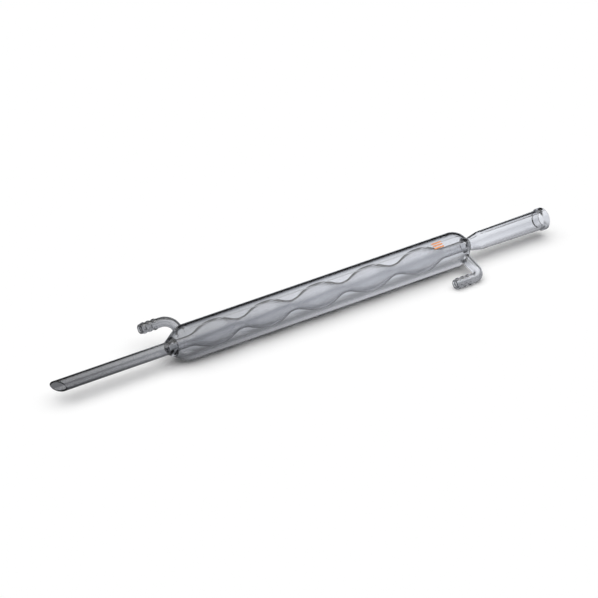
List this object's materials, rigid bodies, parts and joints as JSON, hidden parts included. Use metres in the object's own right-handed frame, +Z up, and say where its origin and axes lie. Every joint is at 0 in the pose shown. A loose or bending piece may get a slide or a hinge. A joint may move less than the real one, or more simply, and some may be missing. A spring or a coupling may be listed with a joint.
{
  "type": "allihn condenser",
  "caption": "Water-jacketed glass reflux condenser with a bulbed inner tube, ribbed hose arms, drip stem and beaded upper tube.",
  "frame": {"origin": "middle of the surface that the condenser lies on, under the centre of its overall box", "axes": "+X along the condenser's axis towards the wide beaded tube, +Y towards the drip-end arm's side, +Z up"},
  "size_m": [0.5166, 0.0748, 0.031],
  "materials": {
    "clear_glass": "clear borosilicate glass, flame worked and fire polished",
    "orange_enamel": "thin fired enamel mark"
  },
  "bodies": {
    "root": {"condenser_glass": "clear_glass"}
  },
  "joints": []
}
